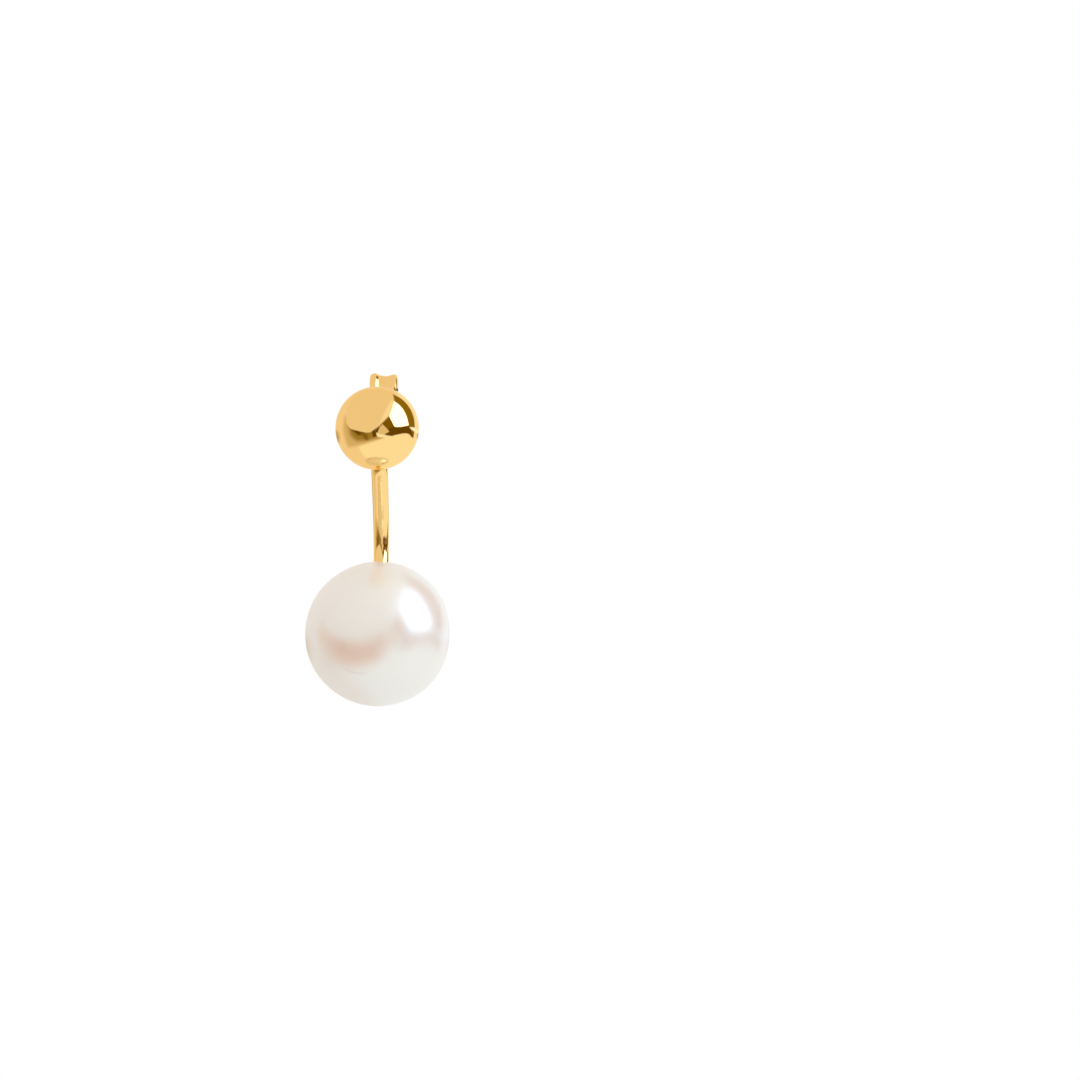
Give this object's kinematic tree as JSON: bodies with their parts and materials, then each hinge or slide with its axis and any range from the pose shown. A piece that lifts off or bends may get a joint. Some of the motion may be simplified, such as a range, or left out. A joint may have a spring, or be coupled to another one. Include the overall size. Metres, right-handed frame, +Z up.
{
  "type": "pearl ear jacket earring",
  "caption": "Gold ball stud with a curved arm that hangs on its post behind the ball and carries a round white pearl, held by a butterfly nut.",
  "frame": {"origin": "on the post's axis, where the post leaves the back of the ball", "axes": "+Y along the post towards its tip, so the ball faces -Y; +Z up, with the pearl hanging towards -Z; +X to the right of someone who looks at the ball"},
  "size_m": [0.0104, 0.0179, 0.0231],
  "materials": {
    "gold": "mirror-polished yellow gold",
    "nacre": "white pearl nacre with a soft lustre and a pink overtone"
  },
  "bodies": {
    "stud": {"ball_stud": "gold"},
    "jacket": {"jacket_arm": "gold", "pearl_bead": "nacre"},
    "nut": {"butterfly_nut": "gold"}
  },
  "joints": [
    {"name": "jacket_swing", "type": "hinge", "parent": "stud", "child": "jacket", "pos_m": [0, 0, 0], "axis": [0, 1, 0], "continuous": true},
    {"name": "nut_slide", "type": "slide", "parent": "stud", "child": "nut", "axis": [0, 1, 0], "range_m": [-0.0042, 0.0052]}
  ]
}
